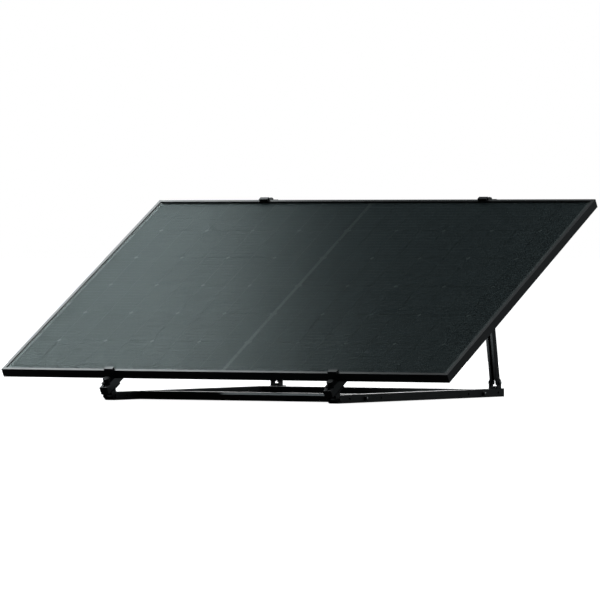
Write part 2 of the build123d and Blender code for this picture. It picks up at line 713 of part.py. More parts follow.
def make_leg_locks():
    """Bolt through the backs of both channels into a plate nut in the inner one."""
    back = LEG_DEPTH / 2
    nut_back = back - 2 * RAIL_WALL - 2 * GAP
    nut_front = nut_back - LOCK_NUT[2]
    bolt = rod_y(BOLT_R, nut_front - THREAD_PAST_NUT, back + WASHER, 0, LEG_LOCK_Z)
    bolt += rod_y(WASHER_R, back, back + WASHER, 0, LEG_LOCK_Z)
    bolt += Pos(0, back + WASHER + HEAD, LEG_LOCK_Z) * Rot(90, 0, 0) * hexagon_z(0, HEAD)
    nut = Pos(0, nut_back, LEG_LOCK_Z) * Rot(90, 0, 0) * plate_nut(LOCK_NUT, (0, 0), 0)
    for name, side in SIDES.items():
        export(f"leg_lock_{name}", LEG_AT[side], bolt, nut)


def make_leg_top_bolts():
    """The leg's top pin, carried by the inner channel, with wide washers over the ear slots."""
    seat = upper_leg_half() + 2 * GAP + PLATE + GAP
    nut_end = -seat - WASHER - NUT
    bolt = rod_x(BOLT_R, nut_end - THREAD_PAST_NUT, seat + WASHER)
    bolt += rod_x(WIDE_WASHER_R, seat, seat + WASHER)
    bolt += hexagon_x(seat + WASHER, seat + WASHER + HEAD)
    nut = rod_x(WIDE_WASHER_R, -seat - WASHER, -seat)
    nut += hexagon_x(nut_end, -seat - WASHER)
    nut -= hole_x(NUT_BORE_R, nut_end, -seat)
    top = Pos(0, 0, LEG_LENGTH)
    for name, side in SIDES.items():
        export(f"leg_top_bolt_{name}", LEG_AT[side], top * bolt, top * nut)


# ---- End clamps ---------------------------------------------------------------------------------


def end_clamp():
    """Hook over the frame's lip and a foot on the rail; the frame's edge is at Y = 0, the
    rail's top at Z = 0 and outwards is -Y."""
    top = FRAME_HEIGHT + CLAMP_ABOVE_FRAME
    wall_y = (-GAP - CLAMP_PLATE, -GAP)
    low = FRAME_HEIGHT + GAP
    outline = [
        (-CLAMP_FOOT, GAP),
        (wall_y[1], GAP),
        (wall_y[1], top - CLAMP_PLATE),
        (CLAMP_OVERLAP - CLAMP_NOSE, top - CLAMP_PLATE),
        (CLAMP_OVERLAP - CLAMP_NOSE, low),
        (CLAMP_OVERLAP, low),
        (CLAMP_OVERLAP, top),
        (wall_y[0], top),
        (wall_y[0], GAP + CLAMP_PLATE),
        (-CLAMP_FOOT, GAP + CLAMP_PLATE),
    ]
    profile = Plane.YZ * Polygon(*outline, align=None)
    clamp = extrude(profile, CLAMP_WIDTH / 2, both=True)
    outer_edges = clamp.edges().filter_by(Axis.X).group_by(Axis.Z)[-1]
    clamp = fillet(outer_edges, CLAMP_EDGE_R)
    return clamp - hole_z(RUNNING_R, GAP, GAP + CLAMP_PLATE, 0, -CLAMP_BOLT_FROM_EDGE)


def clamp_bolt():
    """T-headed bolt whose head is held under the lips of the rail's slot."""
    head_top = -RAIL_WALL - GAP
    head = Pos(0, 0, head_top - T_HEAD[2] / 2) * Box(*T_HEAD)
    return head + rod_z(BOLT_R, head_top, GAP + CLAMP_PLATE + CLAMP_BOLT_ABOVE)


def clamp_knob():
    """Lobed hand nut with a low boss, on the clamp's bolt."""
    base = GAP + CLAMP_PLATE + GAP
    top = base + KNOB_HEIGHT
    body = rod_z(KNOB_R, base + KNOB_BOSS, top)
    body = fillet(body.edges().group_by(Axis.Z)[-1], KNOB_TOP_ROUND)
    body = fillet(body.edges().group_by(Axis.Z)[0], KNOB_LOW_ROUND)
    scallop = hole_z(KNOB_SCALLOP_R, base, top, KNOB_SCALLOP_FROM_AXIS, 0)
    for lobe in range(KNOB_LOBES):
        body -= Rot(0, 0, 360 * lobe / KNOB_LOBES) * scallop
    body += rod_z(KNOB_BOSS_R, base, base + KNOB_BOSS)
    bolt_end = GAP + CLAMP_PLATE + CLAMP_BOLT_ABOVE
    return body - hole_z(RUNNING_R, base, bolt_end)


def make_clamps():
    clamp = end_clamp()
    seat = Pos(0, -CLAMP_BOLT_FROM_EDGE, 0)
    bolt = seat * clamp_bolt()
    knob = seat * clamp_knob()
    for end, edge, turn in (("front", MODULE_START, 0), ("rear", MODULE_END, 180)):
        for name, side in SIDES.items():
            place = PANEL * Pos(side * RAIL_X, edge, RAIL_TOP) * Rot(0, 0, turn)
            export(f"end_clamp_{end}_{name}", place, clamp)
            export(f"clamp_bolt_{end}_{name}", place, bolt)
            export(f"clamp_knob_{end}_{name}", place, knob)


os.makedirs("parts", exist_ok=True)
make_frame()
make_corner_keys()
make_laminate()
make_cells()
make_ribbons()
make_junction_boxes()
make_tilt_rails()
make_tilt_rail_caps()
make_hanging_brackets()
make_bracket_fasteners()
make_base_rails()
make_base_rail_caps()
make_cross_bars()
make_spacer_sleeves()
make_hinge_fasteners()
make_foot_brackets()
make_foot_pivots()
make_lower_legs()
make_upper_legs()
make_leg_locks()
make_leg_top_bolts()
make_clamps()
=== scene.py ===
import json
import math

import bmesh
import bpy
from mathutils import Matrix, Vector


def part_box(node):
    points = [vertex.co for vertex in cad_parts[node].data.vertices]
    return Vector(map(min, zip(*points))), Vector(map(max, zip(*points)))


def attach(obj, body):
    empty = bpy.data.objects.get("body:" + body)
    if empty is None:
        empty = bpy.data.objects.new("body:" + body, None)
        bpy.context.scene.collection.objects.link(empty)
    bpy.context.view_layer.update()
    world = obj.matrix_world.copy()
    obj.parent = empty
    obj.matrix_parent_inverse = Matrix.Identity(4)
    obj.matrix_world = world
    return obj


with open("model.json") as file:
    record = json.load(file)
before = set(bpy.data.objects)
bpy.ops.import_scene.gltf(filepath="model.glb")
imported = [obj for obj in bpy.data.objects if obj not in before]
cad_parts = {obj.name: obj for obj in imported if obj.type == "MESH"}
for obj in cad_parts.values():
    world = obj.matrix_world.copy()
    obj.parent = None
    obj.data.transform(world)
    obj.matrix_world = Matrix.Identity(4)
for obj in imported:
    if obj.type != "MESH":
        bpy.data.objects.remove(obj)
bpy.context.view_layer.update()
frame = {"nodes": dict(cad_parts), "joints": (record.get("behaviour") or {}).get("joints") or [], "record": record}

NODES = frame["nodes"]
RECORD = frame["record"]
JOINTS = {joint["name"]: joint for joint in frame["joints"]}

# Directions of the panel and of the legs, as the joints state them
ACROSS = Vector((1.0, 0.0, 0.0))
SLOPE = Vector(JOINTS["clamp_slide_rear_left"]["axis"]).normalized()
NORMAL = ACROSS.cross(SLOPE)
LEG_AXIS = Vector(JOINTS["leg_slide_left"]["axis"]).normalized()
TILT = math.atan2(SLOPE.z, SLOPE.y)
MM = 0.001


def middle(node):
    low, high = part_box(node)
    return (low + high) / 2


CELLS_CENTRE = middle("solar_cells")
PANEL_AXES = Matrix((ACROSS, SLOPE, NORMAL)).transposed()


def on_panel(x, y, z):
    """Point at x, y along the glass and z above the cells' middle plane, in metres."""
    return CELLS_CENTRE + PANEL_AXES @ Vector((x, y, z))


# ---- Camera -------------------------------------------------------------------------------------

TARGET = Vector((0.2226, -0.3900, 0.3338))
DISTANCE = 22.41
AZIMUTH = math.radians(31.378)
ELEVATION = math.radians(0.637)
LENS = 410.69
SENSOR = 36.0
CLIP = (1.0, 300.0)


def make_camera():
    back = Vector((
        math.sin(AZIMUTH) * math.cos(ELEVATION),
        -math.cos(AZIMUTH) * math.cos(ELEVATION),
        math.sin(ELEVATION),
    ))
    data = bpy.data.cameras.new("camera")
    data.lens = LENS
    data.sensor_width = SENSOR
    data.clip_start, data.clip_end = CLIP
    camera = bpy.data.objects.new("camera", data)
    bpy.context.scene.collection.objects.link(camera)
    camera.location = TARGET + back * DISTANCE
    camera.rotation_mode = "QUATERNION"
    camera.rotation_quaternion = (-back).to_track_quat("-Z", "Y")
    bpy.context.scene.camera = camera


# ---- Material shorthand -------------------------------------------------------------------------


class Shade:
    """Builds one material's nodes. Each method returns an output socket."""

    def __init__(self, name):
        self.material = bpy.data.materials.new(name)
        self.material.use_nodes = True
        self.tree = self.material.node_tree
        self.tree.nodes.clear()
        self.place = self.node("ShaderNodeTexCoord").outputs["Object"]

    def node(self, kind, inputs=None, **settings):
        made = self.tree.nodes.new(kind)
        for name, value in settings.items():
            setattr(made, name, value)
        for name, value in (inputs or {}).items():
            if isinstance(value, bpy.types.NodeSocket):
                self.tree.links.new(value, made.inputs[name])
            else:
                made.inputs[name].default_value = value
        return made

    def math(self, operation, *values):
        return self.node("ShaderNodeMath", dict(enumerate(values)), operation=operation).outputs[0]

    def vector(self, operation, *values):
        made = self.node("ShaderNodeVectorMath", dict(enumerate(values)), operation=operation)
        single = operation in ("DOT_PRODUCT", "LENGTH")
        return made.outputs["Value" if single else "Vector"]

    def noise(self, vector, scale, detail=2.0, rough=0.5):
        inputs = {"Vector": vector, "Scale": scale, "Detail": detail, "Roughness": rough}
        return self.node("ShaderNodeTexNoise", inputs).outputs[0]

    def span(self, value, low, high, to_low=0.0, to_high=1.0, smooth=False):
        inputs = {"Value": value, 1: low, 2: high, 3: to_low, 4: to_high}
        made = self.node("ShaderNodeMapRange", inputs)
        made.interpolation_type = "SMOOTHSTEP" if smooth else "LINEAR"
        return made.outputs["Result"]

    def blend(self, share, first, second):
        """Colour mix. The two colours are sockets or RGB triples."""
        made = self.node("ShaderNodeMix", {"Factor": share}, data_type="RGBA")
        for index, colour in ((6, first), (7, second)):
            if isinstance(colour, bpy.types.NodeSocket):
                self.tree.links.new(colour, made.inputs[index])
            else:
                made.inputs[index].default_value = (*colour, 1.0)
        return made.outputs[2]

    def bump(self, height, depth, strength=1.0):
        inputs = {"Height": height, "Distance": depth, "Strength": strength}
        return self.node("ShaderNodeBump", inputs).outputs["Normal"]

    def along(self, direction, stretch):
        """The place, squeezed along a direction, so that a pattern is drawn out along it."""
        distance = self.vector("DOT_PRODUCT", self.place, tuple(direction))
        aligned = self.node("ShaderNodeCombineXYZ", {0: distance, 1: distance, 2: distance})
        part = self.vector("MULTIPLY", aligned.outputs[0], tuple(direction * (1 - 1 / stretch)))
        return self.vector("SUBTRACT", self.place, part)

    def principled(self, **inputs):
        names = {name.replace("_", " "): value for name, value in inputs.items()}
        made = self.node("ShaderNodeBsdfPrincipled")
        for name, value in names.items():
            socket = made.inputs[name]
            if isinstance(value, bpy.types.NodeSocket):
                self.tree.links.new(value, socket)
            elif socket.type == "RGBA":
                socket.default_value = (*value, 1.0)
            else:
                socket.default_value = value
        return made.outputs[0]

    def finish(self, shader):
        self.node("ShaderNodeOutputMaterial", {"Surface": shader})
        return self.material


# ---- Materials ----------------------------------------------------------------------------------


def anodised(name, direction, tone, rough, ior=1.52):
    """Black anodised extrusion: die lines along its length, faint clouding and handling marks."""
    s = Shade(name)
    drawn = s.along(direction, 160.0)
    lines = s.noise(drawn, 2600.0, 3.0, 0.6)
    broad = s.noise(drawn, 420.0, 2.0, 0.5)
    cloud = s.noise(s.place, 9.0, 3.0, 0.6)
    light = tuple(channel * 1.5 for channel in tone)
    dark = tuple(channel * 0.75 for channel in tone)
    colour = s.blend(s.span(cloud, 0.3, 0.7), dark, tone)
    colour = s.blend(s.span(broad, 0.52, 0.78), colour, light)
    roughness = s.math("ADD", s.span(lines, 0.3, 0.7, rough - 0.06, rough + 0.06),
                       s.span(cloud, 0.35, 0.65, -0.03, 0.04))
    return s.finish(s.principled(
        Base_Color=colour, Roughness=roughness, IOR=ior,
        Normal=s.bump(lines, 0.006 * MM, 0.6),
    ))


def powder_coat():
    """Black powder coat with its fine orange peel."""
    s = Shade("powder_coat")
    peel = s.noise(s.place, 900.0, 2.0, 0.5)
    cloud = s.noise(s.place, 30.0, 2.0)
    colour = s.blend(s.span(cloud, 0.3, 0.7), (0.017, 0.017, 0.018), (0.028, 0.028, 0.029))
    return s.finish(s.principled(
        Base_Color=colour, Roughness=s.span(peel, 0.3, 0.7, 0.38, 0.5),
        Normal=s.bump(peel, 0.05 * MM, 0.5),
    ))


def moulded(name, tone, rough=0.55):
    """Moulded plastic with a fine spark-eroded texture."""
    s = Shade(name)
    grain = s.noise(s.place, 2200.0, 2.0, 0.6)
    cloud = s.noise(s.place, 45.0, 2.0)
    low = tuple(channel * 0.8 for channel in tone)
    high = tuple(channel * 1.2 for channel in tone)
    return s.finish(s.principled(
        Base_Color=s.blend(s.span(cloud, 0.3, 0.7), low, high),
        Roughness=s.span(grain, 0.3, 0.7, rough - 0.06, rough + 0.08),
        Normal=s.bump(grain, 0.03 * MM, 0.6),
    ))


def black_oxide():
    """Oiled black oxide on steel."""
    s = Shade("black_oxide")
    fine = s.noise(s.place, 1500.0, 3.0, 0.6)
    cloud = s.noise(s.place, 160.0, 2.0)
    colour = s.blend(s.span(cloud, 0.3, 0.7), (0.05, 0.05, 0.053), (0.10, 0.098, 0.096))
    return s.finish(s.principled(
        Base_Color=colour, Metallic=0.7, Roughness=s.span(fine, 0.3, 0.7, 0.3, 0.42),
        Normal=s.bump(fine, 0.01 * MM, 0.5),
    ))


def bare_metal(name, tone, rough):
    """Mill-finish or zinc-plated metal with small crystals."""
    s = Shade(name)
    grain = s.noise(s.place, 700.0, 3.0, 0.6)
    cloud = s.noise(s.place, 60.0, 2.0)
    low = tuple(channel * 0.85 for channel in tone)
    return s.finish(s.principled(
        Base_Color=s.blend(s.span(cloud, 0.3, 0.7), low, tone), Metallic=1.0,
        Roughness=s.span(grain, 0.3, 0.7, rough - 0.06, rough + 0.08),
        Normal=s.bump(grain, 0.01 * MM, 0.5),
    ))


def silicone():
    """Black sealant in the frame's groove."""
    s = Shade("silicone")
    grain = s.noise(s.place, 600.0, 2.0)
    colour = s.blend(s.span(grain, 0.3, 0.7), (0.012, 0.012, 0.013), (0.022, 0.022, 0.023))
    return s.finish(s.principled(
        Base_Color=colour, Roughness=s.span(grain, 0.3, 0.7, 0.5, 0.65),
        Normal=s.bump(grain, 0.05 * MM, 0.5),
    ))


def panel_place(s):
    """The place in the panel's own axes, in metres from the middle of the cells."""
    turned = s.node("ShaderNodeMapping", {"Vector": s.place}, vector_type="TEXTURE")
    turned.inputs["Location"].default_value = CELLS_CENTRE
    turned.inputs["Rotation"].default_value = (TILT, 0.0, 0.0)
    return turned.outputs[0]


ROW_PITCH = 183.6 * MM
CELL_PITCH = 92.4 * MM
CENTRE_GAP = 14.0 * MM
FINGER_PITCH = 1.54 * MM
# A finger fades out between these two distances from its middle
FINGER_EDGE = (0.03 * MM, 0.16 * MM)
FINGER_SHARE = 0.22
# Columns added on each side of the centre gap, so that no two cells share a random tone
HALVES_APART = 20.5


def silicon():
    """Black monocrystalline half-cell: fine silver fingers across it, and a tone of its own."""
    s = Shade("silicon")
    parts = s.node("ShaderNodeSeparateXYZ", {0: panel_place(s)})
    x, y = parts.outputs[0], parts.outputs[1]
    from_gap = s.math("SUBTRACT", s.math("ABSOLUTE", x), CENTRE_GAP / 2)
    column = s.math("FLOOR", s.math("DIVIDE", from_gap, CELL_PITCH))
    column = s.math("ADD", column, s.math("MULTIPLY", s.math("SIGN", x), HALVES_APART))
    row = s.math("FLOOR", s.math("DIVIDE", y, ROW_PITCH))
    index = s.node("ShaderNodeCombineXYZ", {0: column, 1: row})
    own = s.node("ShaderNodeTexWhiteNoise", {"Vector": index.outputs[0]}).outputs["Value"]
    finger = s.math("PINGPONG", from_gap, FINGER_PITCH / 2)
    finger = s.span(finger, *FINGER_EDGE, 1.0, 0.0, smooth=True)
    cloud = s.noise(s.place, 14.0, 3.0, 0.6)
    wafer = s.blend(own, (0.0205, 0.0250, 0.0280), (0.0240, 0.0290, 0.0320))
    wafer = s.blend(s.span(cloud, 0.35, 0.7, 0.0, 0.35), wafer, (0.019, 0.0250, 0.0310))
    colour = s.blend(s.math("MULTIPLY", finger, FINGER_SHARE), wafer, (0.16, 0.17, 0.175))
    return s.finish(s.principled(
        Base_Color=colour, Roughness=s.span(cloud, 0.3, 0.7, 0.28, 0.3),
        Specular_IOR_Level=0.08, Normal=s.bump(finger, 0.01 * MM, 0.5),
    ))


def backsheet():
    """Black film: dark grey where it shows between the cells, blacker and grained behind."""
    s = Shade("backsheet")
    normal = s.node("ShaderNodeTexCoord").outputs["Normal"]
    front = s.math("GREATER_THAN", s.vector("DOT_PRODUCT", normal, tuple(NORMAL)), 0.0)
    grain = s.noise(s.place, 1200.0, 2.0)
    cloud = s.noise(s.place, 6.0, 3.0)
    behind = s.blend(s.span(cloud, 0.3, 0.7), (0.014, 0.0145, 0.016), (0.021, 0.0215, 0.023))
    between = s.blend(s.span(cloud, 0.3, 0.7), (0.047, 0.051, 0.052), (0.057, 0.061, 0.062))
    return s.finish(s.principled(
        Base_Color=s.blend(front, behind, between),
        Roughness=s.span(grain, 0.3, 0.7, 0.27, 0.31), Specular_IOR_Level=0.36,
        Normal=s.bump(grain, 0.02 * MM, 0.1),
    ))


def coated_ribbon():
    """Flat ribbon with a dark coat, in the gaps of the strings."""
    s = Shade("coated_ribbon")
    cloud = s.noise(s.place, 120.0, 3.0)
    colour = s.blend(s.span(cloud, 0.3, 0.7), (0.040, 0.043, 0.045), (0.055, 0.058, 0.060))
    return s.finish(s.principled(
        Base_Color=colour, Roughness=s.span(cloud, 0.3, 0.7, 0.27, 0.31),
        Specular_IOR_Level=0.27,
    ))


HAZE_SHARE = 0.006


def clear_film():
    """Encapsulant: clear, with a trace of haze."""
    s = Shade("clear_film")
    haze = s.noise(s.place, 25.0, 2.0)
    film = s.principled(
        Base_Color=s.blend(haze, (0.30, 0.33, 0.33), (0.42, 0.45, 0.45)),
        Roughness=0.4, Specular_IOR_Level=0.0,
    )
    clear = s.node("ShaderNodeBsdfTransparent").outputs[0]
    return s.finish(s.node("ShaderNodeMixShader", {0: HAZE_SHARE, 1: clear, 2: film}).outputs[0])


GLASS_MIRROR = 0.001
COATED_GLASS_AT_GRAZING = 0.02
BARE_GLASS_AT_GRAZING = 0.75
COATED_HALF = Vector((838.5, 552.0)) * MM
COAT_EDGE = 1.0 * MM


def solar_glass():
    """Clear pane with an anti-reflective coat over the cells, which ends short of its edges."""
    s = Shade("solar_glass")
    pattern = s.noise(s.place, 650.0, 2.0, 0.5)
    mirror = s.principled(
        Base_Color=(0.93, 1.0, 0.99), Metallic=1.0,
        Roughness=s.span(pattern, 0.3, 0.7, 0.25, 0.28),
        Normal=s.bump(pattern, 0.002 * MM, 0.3),
    )
    clear = s.node("ShaderNodeBsdfTransparent")
    clear.inputs["Color"].default_value = (0.95, 0.985, 0.98, 1.0)
    facing = s.node("ShaderNodeTexCoord").outputs["Normal"]
    upper = s.math("GREATER_THAN", s.vector("DOT_PRODUCT", facing, tuple(NORMAL)), 0.5)
    edge_on = s.node("ShaderNodeLayerWeight", {"Blend": 0.5}).outputs["Facing"]
    parts = s.node("ShaderNodeSeparateXYZ", {0: panel_place(s)})
    past_x = s.math("SUBTRACT", s.math("ABSOLUTE", parts.outputs[0]), COATED_HALF.x)
    past_y = s.math("SUBTRACT", s.math("ABSOLUTE", parts.outputs[1]), COATED_HALF.y)
    bare = s.span(s.math("MAXIMUM", past_x, past_y), 0.0, COAT_EDGE,
                  COATED_GLASS_AT_GRAZING, BARE_GLASS_AT_GRAZING)
    grazing = s.math("MULTIPLY", s.math("POWER", edge_on, 5.0), bare)
    share = s.math("MULTIPLY", s.math("ADD", grazing, GLASS_MIRROR), upper)
    mixed = s.node("ShaderNodeMixShader", {0: share, 1: clear.outputs[0], 2: mirror})
    return s.finish(mixed.outputs[0])


def tinned_wire():
    """Dull tinned copper."""
    s = Shade("tinned_wire")
    cloud = s.noise(s.place, 90.0, 3.0)
    colour = s.blend(s.span(cloud, 0.3, 0.7), (0.13, 0.14, 0.145), (0.18, 0.19, 0.195))
    return s.finish(s.principled(
        Base_Color=colour, Metallic=1.0, Roughness=s.span(cloud, 0.3, 0.7, 0.32, 0.42),
    ))


FRAME_TONE = (0.017, 0.018, 0.020)
RAIL_TONE = (0.018, 0.019, 0.020)
FRAME_ROUGH, FRAME_IOR = 0.35, 1.62
RAIL_ROUGH = 0.33
CLAMP_ROUGH = 0.34


def paint_nodes():
    """Gives every CAD node its material, and returns the materials by record slot."""
    along = {
        "x": ACROSS,
        "y": Vector((0.0, 1.0, 0.0)),
        "slope": SLOPE,
        "leg": LEG_AXIS,
    }
    frame_metal = {k: anodised(f"frame_anodised_{k}", along[k], FRAME_TONE, FRAME_ROUGH, FRAME_IOR)
                   for k in ("x", "slope")}
    rail_metal = {k: anodised(f"rail_anodised_{k}", along[k], RAIL_TONE, RAIL_ROUGH)
                  for k in along}
    lengthwise = {
        "frame_front": frame_metal["x"], "frame_rear": frame_metal["x"],
        "frame_left": frame_metal["slope"], "frame_right": frame_metal["slope"],
        "tilt_rail_left": rail_metal["slope"], "tilt_rail_right": rail_metal["slope"],
        "base_rail_left": rail_metal["y"], "base_rail_right": rail_metal["y"],
        "front_cross_bar": rail_metal["x"], "rear_cross_bar": rail_metal["x"],
        "leg_lower_left": rail_metal["leg"], "leg_lower_right": rail_metal["leg"],
        "leg_upper_left": rail_metal["leg"], "leg_upper_right": rail_metal["leg"],
    }
    of_slot = {
        "frame_key": bare_metal("mill_aluminium", (0.62, 0.63, 0.64), 0.42),
        "sealant": silicone(),
        "front_glass": solar_glass(),
        "encapsulant": clear_film(),
        "solar_cell": silicon(),
        "ribbon": coated_ribbon(),
        "backsheet": backsheet(),
        "box_plastic": moulded("box_plastic", (0.019, 0.019, 0.020), 0.5),
        "diode": moulded("diode_case", (0.028, 0.028, 0.028), 0.35),
        "cap_plastic": moulded("cap_plastic", (0.015, 0.015, 0.015), 0.5),
        "black_bracket": powder_coat(),
        "black_bolt": black_oxide(),
        # Light plated metal: on the bolt crowns its light tone is partly a painted highlight on the dark heads
        "zinc_steel": bare_metal("zinc_plate_and_glint", (0.55, 0.56, 0.57), 0.3),
        "black_clamp": anodised("clamp_anodised", ACROSS, RAIL_TONE, CLAMP_ROUGH),
        "knob_plastic": moulded("knob_plastic", (0.009, 0.009, 0.010), 0.62),
    }
    for part in RECORD["subparts"]:
        name = part["node"]
        finish = lengthwise.get(name) or of_slot[part["material_slot"]]
        for slot in NODES[name].material_slots:
            slot.material = finish
    return of_slot


# ---- Edges of the CAD nodes ---------------------------------------------------------------------


WELD_GAP = 0.002 * MM
FLAT_WITHIN = math.radians(0.6)
EDGE_FROM = math.radians(40)
EDGE_SEGMENTS = 2
FLAT_FACE_WEIGHT = 90


def soften(node, width):
    """Rounds a node's edges a little, as extruded, folded and forged metal has them."""
    piece = NODES[node]
    weld = piece.modifiers.new("join", "WELD")
    weld.merge_threshold = WELD_GAP
    flat = piece.modifiers.new("flat", "DECIMATE")
    flat.decimate_type = "DISSOLVE"
    flat.angle_limit = FLAT_WITHIN
    bevel = piece.modifiers.new("edges", "BEVEL")
    bevel.width = width
    bevel.segments = EDGE_SEGMENTS
    bevel.limit_method = "ANGLE"
    bevel.angle_limit = EDGE_FROM
    bevel.harden_normals = False
    normals = piece.modifiers.new("normals", "WEIGHTED_NORMAL")
    normals.weight = FLAT_FACE_WEIGHT


# Nodes by the width of their rounded edges, in millimetres
EDGES = {
    0.35: (
        "frame_front", "frame_rear", "frame_left", "frame_right",
        "base_rail_caps", "tilt_rail_caps", "junction_box_lids", "cable_glands",
    ),
    0.45: (
        "end_clamp_front_left", "end_clamp_front_right",
        "end_clamp_rear_left", "end_clamp_rear_right",
        "foot_brackets", "hinge_brackets", "leg_top_brackets", "junction_boxes",
        "clamp_knob_front_left", "clamp_knob_front_right",
        "clamp_knob_rear_left", "clamp_knob_rear_right",
    ),
    0.6: (
        "base_rail_left", "base_rail_right", "front_cross_bar", "rear_cross_bar",
        "tilt_rail_left", "tilt_rail_right", "leg_lower_left", "leg_lower_right",
        "leg_upper_left", "leg_upper_right",
    ),
    1.1: (
        "cross_bar_bolts", "hinge_bolts", "hinge_nuts", "foot_pivot_bolts", "foot_pivot_nuts",
        "foot_bracket_bolts", "rail_bracket_bolts", "leg_lock_left", "leg_lock_right",
        "leg_top_bolt_left", "leg_top_bolt_right",
        "clamp_bolt_front_left", "clamp_bolt_front_right",
        "clamp_bolt_rear_left", "clamp_bolt_rear_right",
    ),
}


FILM_INSET = 0.08 * MM


def shrink(node, depth):
    """Draws a sheet's faces in, so that it doesn't share them with its neighbours."""
    inward = NODES[node].modifiers.new("clear", "DISPLACE")
    inward.strength = -depth
    inward.mid_level = 0.0


# ---- Wires over the cells -----------------------------------------------------------------------

CELL_ROWS = 6
WIRES_PER_ROW = 10
WIRE_PITCH = 18.2 * MM
WIRE_END_INSET = 1.0 * MM
CELL_FACE = 0.1 * MM
WIRE_SECTION = ((-0.16, 0.0), (-0.12, 0.11), (0.0, 0.16), (0.12, 0.11), (0.16, 0.0))


def add_bar(mesh, section, start, end, y, z):
    """Bar along X with a closed section of (y, z) pairs in millimetres."""
    rings = [[mesh.verts.new(on_panel(x, y + dy * MM, z + dz * MM)) for dy, dz in section]
             for x in (start, end)]
    count = len(section)
    for index in range(count):
        after = (index + 1) % count
        mesh.faces.new((rings[0][index], rings[0][after], rings[1][after], rings[1][index]))
    mesh.faces.new(rings[0][::-1])
    mesh.faces.new(rings[1])


def new_piece(name, mesh, material, body, smooth=False):
    """Object made from a bmesh, riding on a body."""
    bmesh.ops.recalc_face_normals(mesh, faces=mesh.faces)
    data = bpy.data.meshes.new(name)
    mesh.to_mesh(data)
    mesh.free()
    data.materials.append(material)
    if smooth:
        data.shade_smooth()
    piece = bpy.data.objects.new(name, data)
    bpy.context.scene.collection.objects.link(piece)
    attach(piece, body)


def make_wires():
    """Thin round wires that join the half-cells of each string, on the cells' faces."""
    low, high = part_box("bus_ribbons")
    far_end = (high.x - low.x) / 2 - WIRE_END_INSET
    near_end = CENTRE_GAP / 4
    wires = bmesh.new()
    for row in range(CELL_ROWS):
        for index in range(WIRES_PER_ROW):
            y = (row - (CELL_ROWS - 1) / 2) * ROW_PITCH
            y += (index - (WIRES_PER_ROW - 1) / 2) * WIRE_PITCH
            add_bar(wires, WIRE_SECTION, -far_end, -near_end, y, CELL_FACE)
            add_bar(wires, WIRE_SECTION, near_end, far_end, y, CELL_FACE)
    new_piece("cell_wires", wires, tinned_wire(), "panel")


# ---- Bolt ends ----------------------------------------------------------------------------------

CROWN_R = 4.2 * MM
CROWN_HEIGHT = 2.0 * MM
CROWN_SUNK = 0.3 * MM
CROWN_RINGS = 5
CROWN_SIDES = 24
SAME_HEAD = 16.0 * MM
LEVEL = 0.02 * MM


def head_centres(node):
    """Middle of the outermost flat face of each bolt in the node, on both sides."""
    points = [vertex.co for vertex in NODES[node].data.vertices]
    reach = max(abs(point.x) for point in points)
    heads = []
    for point in points:
        if reach - abs(point.x) > LEVEL:
            continue
        near = [head for head in heads if (head[0] - point).length < SAME_HEAD]
        if near:
            near[0].append(point)
        else:
            heads.append([point])
    return [sum(head, Vector()) / len(head) for head in heads]


def add_crown(mesh, centre):
    """Low dome on a bolt's head, bulging outwards along X."""
    outward = math.copysign(1.0, centre.x)
    rings = []
    for ring in range(CROWN_RINGS):
        rise = math.radians(90.0 * ring / CROWN_RINGS)
        height = CROWN_HEIGHT * math.sin(rise) - CROWN_SUNK
        radius = CROWN_R * math.cos(rise)
        rings.append([])
        for side in range(CROWN_SIDES):
            turn = 2 * math.pi * side / CROWN_SIDES
            offset = Vector((outward * height, radius * math.cos(turn), radius * math.sin(turn)))
            rings[-1].append(mesh.verts.new(centre + offset))
    for lower, upper in zip(rings, rings[1:]):
        for side in range(CROWN_SIDES):
            after = (side + 1) % CROWN_SIDES
            mesh.faces.new((lower[side], lower[after], upper[after], upper[side]))
    mesh.faces.new(rings[0][::-1])
    mesh.faces.new(rings[-1])


def make_glint_crowns(material):
    """Domed bolt ends of plated metal on the stand's side fasteners; their light tone is partly a painted
    highlight.
    """
    for node in ("cross_bar_bolts", "hinge_bolts", "foot_pivot_bolts"):
        crowns = bmesh.new()
        for centre in head_centres(node):
            add_crown(crowns, centre)
        new_piece(f"{node}_crowns", crowns, material, "base", smooth=True)


# ---- Floor and light ----------------------------------------------------------------------------

FLOOR_RADIUS = 90.0
FLOOR_DROP = 0.2 * MM
FLOOR_TONE = 0.8
FLOOR_BOUNCE_TONE = 0.05
FLOOR_GLOW = (0.92, 1.02)
FLOOR_GLOW_GROWS = (0.6, 3.5)


